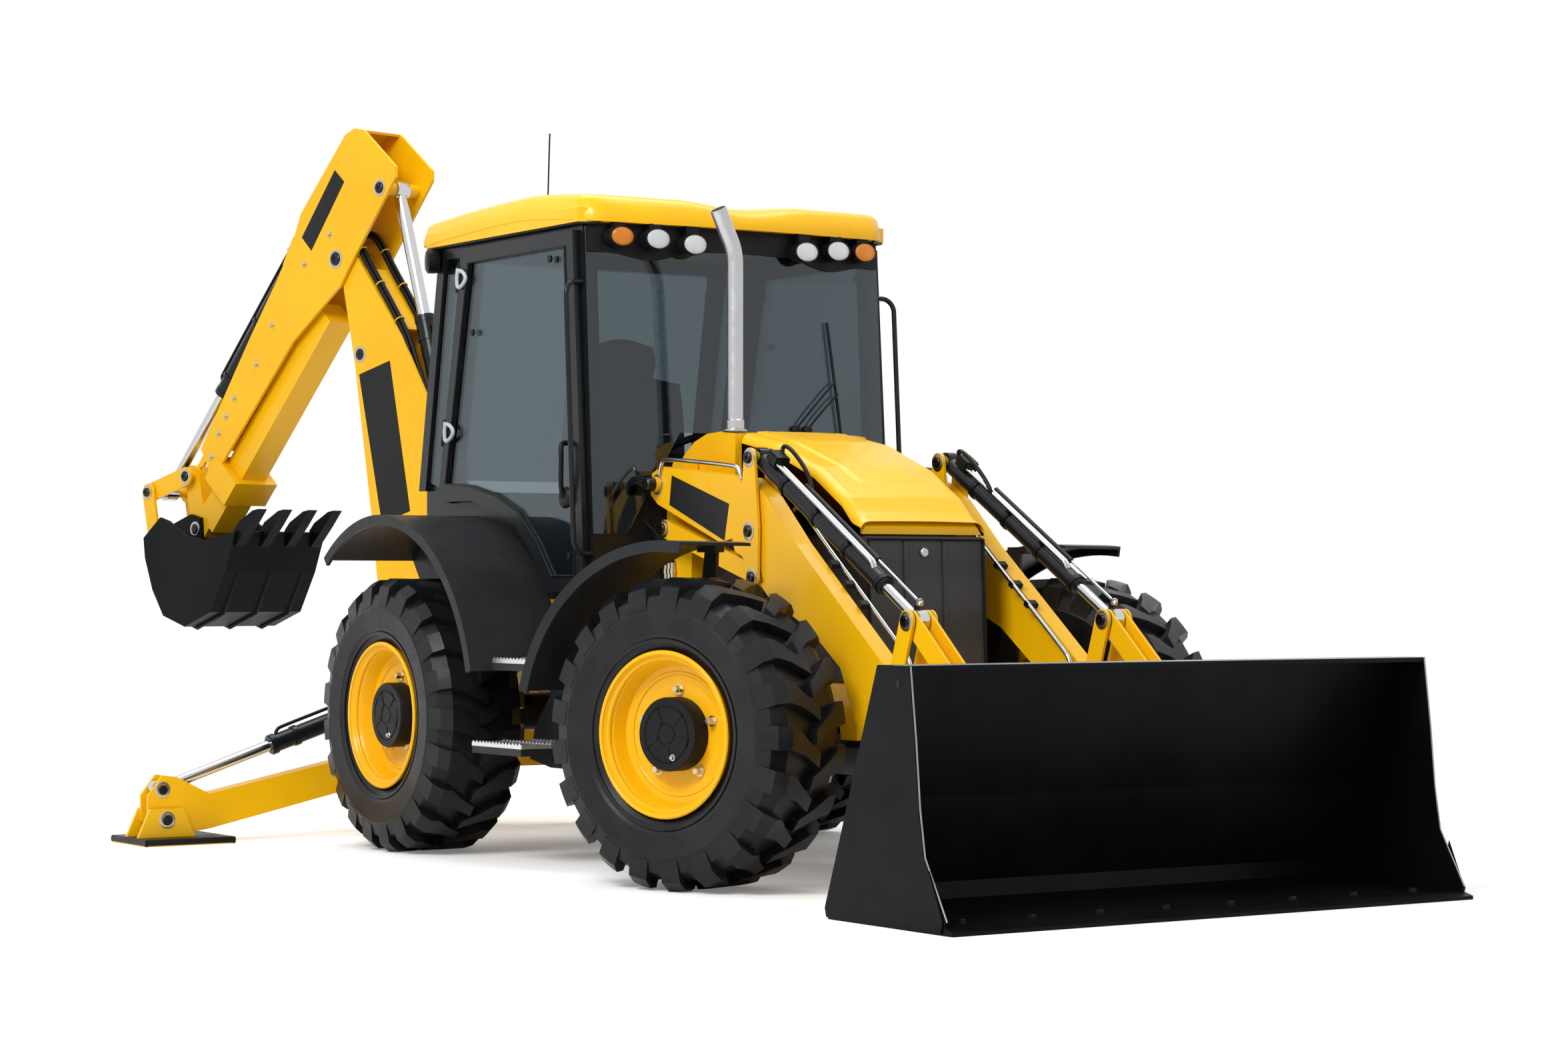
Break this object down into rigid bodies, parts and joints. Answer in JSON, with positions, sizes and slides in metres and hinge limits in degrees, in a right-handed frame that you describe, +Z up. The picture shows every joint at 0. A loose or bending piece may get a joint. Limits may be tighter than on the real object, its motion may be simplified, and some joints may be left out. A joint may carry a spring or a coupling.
{
  "type": "backhoe loader",
  "caption": "Wheeled digger-loader with a wide front bucket on lift arms, a glazed cab, side stabilisers and a swinging extending rear digging arm.",
  "frame": {"origin": "on the ground under the middle of the whole machine's bounding box", "axes": "+X forward towards the loader bucket, +Y to the machine's left, +Z up"},
  "size_m": [8.0243, 3.87, 3.485],
  "materials": {
    "yellow_paint": "gloss yellow paint",
    "wheel_yellow": "gloss yellow paint",
    "black_paint": "satin black paint",
    "black_plastic": "moulded black plastic",
    "trim_black": "dark interior trim",
    "bright_chrome": "polished chrome",
    "pin_steel": "dark turned steel",
    "tyre_rubber": "black tyre rubber",
    "lamp_glass": "clear moulded lens",
    "tinted_glass": "lightly tinted glass"
  },
  "bodies": {
    "chassis": {"main_frame": "yellow_paint", "drive_line": "black_paint", "front_grille": "black_paint", "cab_frame": "black_paint", "cab_roof": "yellow_paint", "roof_lamps": "lamp_glass", "cab_glass": "tinted_glass", "cab_interior": "trim_black", "fenders_and_steps": "black_plastic", "exhaust_stack": "bright_chrome"},
    "bonnet": {"bonnet": "yellow_paint"},
    "knuckle_right": {"knuckle_right": "black_plastic"},
    "wheel_front_right": {"tyre_front_right": "tyre_rubber", "rim_front_right": "wheel_yellow"},
    "wheel_rear_right": {"tyre_rear_right": "tyre_rubber", "rim_rear_right": "wheel_yellow"},
    "knuckle_left": {"knuckle_left": "black_plastic"},
    "wheel_front_left": {"tyre_front_left": "tyre_rubber", "rim_front_left": "wheel_yellow"},
    "wheel_rear_left": {"tyre_rear_left": "tyre_rubber", "rim_rear_left": "wheel_yellow"},
    "door_right": {"door_right": "black_paint", "door_glass_right": "tinted_glass"},
    "door_left": {"door_left": "black_paint", "door_glass_left": "tinted_glass"},
    "loader_arms": {"loader_arms": "yellow_paint"},
    "level_links": {"level_links": "yellow_paint"},
    "crowd_pins": {"crowd_pins": "pin_steel"},
    "crowd_barrels": {"crowd_barrels": "black_paint"},
    "crowd_rods": {"crowd_rods": "bright_chrome"},
    "tip_pins": {"tip_pins": "pin_steel"},
    "tip_levers": {"tip_levers": "yellow_paint"},
    "link_pins": {"link_pins": "pin_steel"},
    "tip_links": {"tip_links": "yellow_paint"},
    "bucket_pins": {"bucket_pins": "pin_steel"},
    "lift_barrels": {"lift_barrels": "black_paint"},
    "lift_rods": {"lift_rods": "bright_chrome"},
    "levers": {"loader_levers": "yellow_paint"},
    "bucket": {"loader_bucket": "black_paint"},
    "kingpost": {"kingpost": "yellow_paint"},
    "boom": {"boom": "yellow_paint"},
    "boom_ram_barrel": {"boom_ram_barrel": "black_paint"},
    "boom_ram_rod": {"boom_ram_rod": "bright_chrome"},
    "dipper_outer": {"dipper_outer": "yellow_paint"},
    "dipper_inner": {"dipper_inner": "yellow_paint"},
    "dipper_ram_barrel": {"dipper_ram_barrel": "black_paint"},
    "dipper_ram_rod": {"dipper_ram_rod": "bright_chrome"},
    "hoe_ram_barrel": {"hoe_ram_barrel": "black_paint"},
    "hoe_ram_rod": {"hoe_ram_rod": "bright_chrome"},
    "hoe_lever": {"hoe_lever": "yellow_paint"},
    "hoe_link": {"hoe_link": "yellow_paint"},
    "hoe_bucket": {"hoe_bucket": "black_paint"},
    "stabiliser_leg_right": {"stabiliser_leg_right": "yellow_paint"},
    "stabiliser_pad_right": {"stabiliser_pad_right": "yellow_paint"},
    "stabiliser_barrel_right": {"stabiliser_barrel_right": "black_paint"},
    "stabiliser_rod_right": {"stabiliser_rod_right": "bright_chrome"},
    "stabiliser_leg_left": {"stabiliser_leg_left": "yellow_paint"},
    "stabiliser_pad_left": {"stabiliser_pad_left": "yellow_paint"},
    "stabiliser_barrel_left": {"stabiliser_barrel_left": "black_paint"},
    "stabiliser_rod_left": {"stabiliser_rod_left": "bright_chrome"}
  },
  "joints": [
    {"name": "steer_right", "type": "hinge", "parent": "chassis", "child": "knuckle_right", "pos_m": [2.023, -0.812, 0.6], "axis": [0, 0, 1], "range_deg": [-38.8, 2.4]},
    {"name": "front_wheel_right", "type": "hinge", "parent": "knuckle_right", "child": "wheel_front_right", "pos_m": [2.07297, -0.964, 0.6], "axis": [-0.3123, 0.95, 0], "continuous": true},
    {"name": "rear_wheel_right", "type": "hinge", "parent": "chassis", "child": "wheel_rear_right", "pos_m": [-0.192, -0.972, 0.6], "axis": [0, 1, 0], "continuous": true},
    {"name": "steer_left", "type": "hinge", "parent": "chassis", "child": "knuckle_left", "pos_m": [2.023, 0.812, 0.6], "axis": [0, 0, 1], "range_deg": [-39, 2.6]},
    {"name": "front_wheel_left", "type": "hinge", "parent": "knuckle_left", "child": "wheel_front_left", "pos_m": [1.97303, 0.964, 0.6], "axis": [-0.3123, 0.95, 0], "continuous": true},
    {"name": "rear_wheel_left", "type": "hinge", "parent": "chassis", "child": "wheel_rear_left", "pos_m": [-0.192, 0.972, 0.6], "axis": [0, 1, 0], "continuous": true},
    {"name": "bonnet_lid", "type": "hinge", "parent": "chassis", "child": "bonnet", "pos_m": [1.374, 0, 1.8], "axis": [0, -1, 0], "range_deg": [0, 50]},
    {"name": "door_right", "type": "hinge", "parent": "chassis", "child": "door_right", "pos_m": [-0.34375, -0.788, 1.854], "axis": [-0.1944, 0, -0.9809], "range_deg": [0, 75]},
    {"name": "door_left", "type": "hinge", "parent": "chassis", "child": "door_left", "pos_m": [-0.34375, 0.788, 1.854], "axis": [0.1944, 0, 0.9809], "range_deg": [0, 75]},
    {"name": "loader_lift", "type": "hinge", "parent": "chassis", "child": "loader_arms", "pos_m": [1.044, 0, 1.593], "axis": [0, -1, 0], "range_deg": [-2, 74]},
    {"name": "lever_swing", "type": "hinge", "parent": "loader_arms", "child": "levers", "pos_m": [1.776, 0, 1.387], "axis": [0, -1, 0], "range_deg": [-74.5, 2.5]},
    {"name": "level_link_swing", "type": "hinge", "parent": "chassis", "child": "level_links", "pos_m": [1.066, 0, 1.407], "axis": [0, -1, 0], "range_deg": [-2.5, 74.5]},
    {"name": "crowd_pin_swing", "type": "hinge", "parent": "levers", "child": "crowd_pins", "pos_m": [1.776, 0, 1.682], "axis": [0, -1, 0], "range_deg": [-2.36, 69.39]},
    {"name": "tip_pin_swing", "type": "hinge", "parent": "loader_arms", "child": "tip_pins", "pos_m": [2.76, 0, 0.755], "axis": [0, -1, 0], "range_deg": [-74.5, 2.5]},
    {"name": "bucket_pin_swing", "type": "hinge", "parent": "loader_arms", "child": "bucket_pins", "pos_m": [3.288, 0, 0.29], "axis": [0, -1, 0], "range_deg": [-74.5, 2.5]},
    {"name": "lift_barrel_swing", "type": "hinge", "parent": "chassis", "child": "lift_barrels", "pos_m": [1.058, 0, 0.57], "axis": [0, -1, 0], "range_deg": [-1.41, 34.13]},
    {"name": "lift_rod_slide", "type": "slide", "parent": "lift_barrels", "child": "lift_rods", "axis": [0.7909, 0, 0.612], "range_m": [-0.0233, 0.8273]},
    {"name": "bucket_tilt", "type": "hinge", "parent": "bucket_pins", "child": "bucket", "pos_m": [3.288, 0, 0.29], "axis": [0, -1, 0], "range_deg": [-50, 40]},
    {"name": "tip_lever_swing", "type": "hinge", "parent": "tip_pins", "child": "tip_levers", "pos_m": [2.76, 0, 0.755], "axis": [0, -1, 0], "range_deg": [-50.5, 40.5]},
    {"name": "crowd_barrel_swing", "type": "hinge", "parent": "crowd_pins", "child": "crowd_barrels", "pos_m": [1.776, 0, 1.682], "axis": [0, -1, 0], "range_deg": [-1.56, 1.82]},
    {"name": "crowd_rod_slide", "type": "slide", "parent": "crowd_barrels", "child": "crowd_rods", "axis": [0.8572, 0, -0.515], "range_m": [-0.1813, 0.2264]},
    {"name": "link_pin_swing", "type": "hinge", "parent": "tip_levers", "child": "link_pins", "pos_m": [2.853, 0, 1.035], "axis": [0, -1, 0], "range_deg": [-2.5, 74.5]},
    {"name": "tip_link_swing", "type": "hinge", "parent": "link_pins", "child": "tip_links", "pos_m": [2.853, 0, 1.035], "axis": [0, -1, 0], "range_deg": [-40.5, 50.5]},
    {"name": "swing", "type": "hinge", "parent": "chassis", "child": "kingpost", "pos_m": [-1.552, 0, 0.8], "axis": [0, 0, 1], "range_deg": [-99, 71]},
    {"name": "boom_lift", "type": "hinge", "parent": "kingpost", "child": "boom", "pos_m": [-1.8722, -0.07983, 0.7], "axis": [-0.2419, 0.9703, 0], "range_deg": [-104, 4]},
    {"name": "boom_ram_swing", "type": "hinge", "parent": "kingpost", "child": "boom_ram_barrel", "pos_m": [-1.74606, -0.04838, 0.96], "axis": [-0.2419, 0.9703, 0], "range_deg": [-103.63, 4.47]},
    {"name": "boom_rod_slide", "type": "slide", "parent": "boom_ram_barrel", "child": "boom_ram_rod", "axis": [-0.3371, -0.0841, 0.9377], "range_m": [-0.0182, 0.4488]},
    {"name": "dipper_swing", "type": "hinge", "parent": "boom", "child": "dipper_outer", "pos_m": [-2.39907, -0.2112, 2.832], "axis": [-0.2419, 0.9703, 0], "range_deg": [-15, 66]},
    {"name": "dipper_ram_swing", "type": "hinge", "parent": "boom", "child": "dipper_ram_barrel", "pos_m": [-1.61022, -0.01452, 1.56], "axis": [-0.2419, 0.9703, 0], "range_deg": [-3.24, 1.12]},
    {"name": "dipper_rod_slide", "type": "slide", "parent": "dipper_ram_barrel", "child": "dipper_ram_rod", "axis": [-0.2749, -0.0685, 0.959], "range_m": [-0.4881, 0.1117]},
    {"name": "dipper_extend", "type": "slide", "parent": "dipper_outer", "child": "dipper_inner", "axis": [-0.6493, -0.1619, -0.7431], "range_m": [0, 1.1]},
    {"name": "hoe_bucket_curl", "type": "hinge", "parent": "dipper_inner", "child": "hoe_bucket", "pos_m": [-3.54111, -0.49594, 1.47], "axis": [-0.2419, 0.9703, 0], "range_deg": [-5, 62]},
    {"name": "hoe_lever_swing", "type": "hinge", "parent": "dipper_inner", "child": "hoe_lever", "pos_m": [-3.60127, -0.51094, 1.752], "axis": [-0.2419, 0.9703, 0], "range_deg": [-5.5, 62.5]},
    {"name": "hoe_link_swing", "type": "hinge", "parent": "hoe_lever", "child": "hoe_link", "pos_m": [-3.89235, -0.58352, 1.672], "axis": [-0.2419, 0.9703, 0], "range_deg": [-62.5, 5.5]},
    {"name": "hoe_ram_swing", "type": "hinge", "parent": "dipper_inner", "child": "hoe_ram_barrel", "pos_m": [-2.77457, -0.30482, 2.966], "axis": [-0.2419, 0.9703, 0], "range_deg": [-0.71, 3.08]},
    {"name": "hoe_rod_slide", "type": "slide", "parent": "hoe_ram_barrel", "child": "hoe_ram_rod", "axis": [-0.6452, -0.1609, -0.7469], "range_m": [-0.2838, 0.0238]},
    {"name": "stabiliser_right", "type": "hinge", "parent": "chassis", "child": "stabiliser_leg_right", "pos_m": [-1.194, -0.38, 0.39], "axis": [-1, 0, 0], "range_deg": [-8, 68]},
    {"name": "stabiliser_pad_right", "type": "hinge", "parent": "stabiliser_leg_right", "child": "stabiliser_pad_right", "pos_m": [-1.194, -1.78, 0.11], "axis": [-1, 0, 0], "range_deg": [-6, 25]},
    {"name": "stabiliser_ram_right", "type": "hinge", "parent": "chassis", "child": "stabiliser_barrel_right", "pos_m": [-1.194, -0.43, 0.7], "axis": [-1, 0, 0], "range_deg": [-9.36, 75.81]},
    {"name": "stabiliser_rod_right", "type": "slide", "parent": "stabiliser_barrel_right", "child": "stabiliser_rod_right", "axis": [0, -0.9483, -0.3173], "range_m": [-0.2931, 0.0354]},
    {"name": "stabiliser_left", "type": "hinge", "parent": "chassis", "child": "stabiliser_leg_left", "pos_m": [-1.194, 0.38, 0.39], "axis": [1, 0, 0], "range_deg": [-8, 68]},
    {"name": "stabiliser_pad_left", "type": "hinge", "parent": "stabiliser_leg_left", "child": "stabiliser_pad_left", "pos_m": [-1.194, 1.78, 0.11], "axis": [1, 0, 0], "range_deg": [-6, 25]},
    {"name": "stabiliser_ram_left", "type": "hinge", "parent": "chassis", "child": "stabiliser_barrel_left", "pos_m": [-1.194, 0.43, 0.7], "axis": [1, 0, 0], "range_deg": [-9.36, 75.81]},
    {"name": "stabiliser_rod_left", "type": "slide", "parent": "stabiliser_barrel_left", "child": "stabiliser_rod_left", "axis": [0, 0.9483, -0.3173], "range_m": [-0.2931, 0.0354]}
  ],
  "couplings": [
    {"joint": "steer_left", "follows": "steer_right", "ratio": 1},
    {"joint": "lever_swing", "follows": "loader_lift", "ratio": -1},
    {"joint": "level_link_swing", "follows": "loader_lift", "ratio": 1},
    {"joint": "crowd_pin_swing", "follows": "loader_lift", "ratio": 0.931},
    {"joint": "tip_pin_swing", "follows": "loader_lift", "ratio": -1},
    {"joint": "bucket_pin_swing", "follows": "loader_lift", "ratio": -1},
    {"joint": "lift_barrel_swing", "follows": "loader_lift", "ratio": 0.4545},
    {"joint": "lift_rod_slide", "follows": "loader_lift", "m_per_rad": 0.6398},
    {"joint": "tip_lever_swing", "follows": "bucket_tilt", "ratio": 1},
    {"joint": "crowd_barrel_swing", "follows": "bucket_tilt", "ratio": -0.0264},
    {"joint": "crowd_rod_slide", "follows": "bucket_tilt", "m_per_rad": -0.2583},
    {"joint": "link_pin_swing", "follows": "loader_lift", "ratio": 1},
    {"joint": "tip_link_swing", "follows": "bucket_tilt", "ratio": -1},
    {"joint": "boom_ram_swing", "follows": "boom_lift", "ratio": 0.9916},
    {"joint": "boom_rod_slide", "follows": "boom_lift", "m_per_rad": -0.2467},
    {"joint": "dipper_ram_swing", "follows": "dipper_swing", "ratio": -0.0415},
    {"joint": "dipper_rod_slide", "follows": "dipper_swing", "m_per_rad": -0.4229},
    {"joint": "hoe_lever_swing", "follows": "hoe_bucket_curl", "ratio": 1},
    {"joint": "hoe_link_swing", "follows": "hoe_bucket_curl", "ratio": -1},
    {"joint": "hoe_ram_swing", "follows": "hoe_bucket_curl", "ratio": 0.0416},
    {"joint": "hoe_rod_slide", "follows": "hoe_bucket_curl", "m_per_rad": -0.2613},
    {"joint": "stabiliser_ram_right", "follows": "stabiliser_right", "ratio": 1.1075},
    {"joint": "stabiliser_rod_right", "follows": "stabiliser_right", "m_per_rad": -0.2461},
    {"joint": "stabiliser_ram_left", "follows": "stabiliser_left", "ratio": 1.1075},
    {"joint": "stabiliser_rod_left", "follows": "stabiliser_left", "m_per_rad": -0.2461}
  ]
}
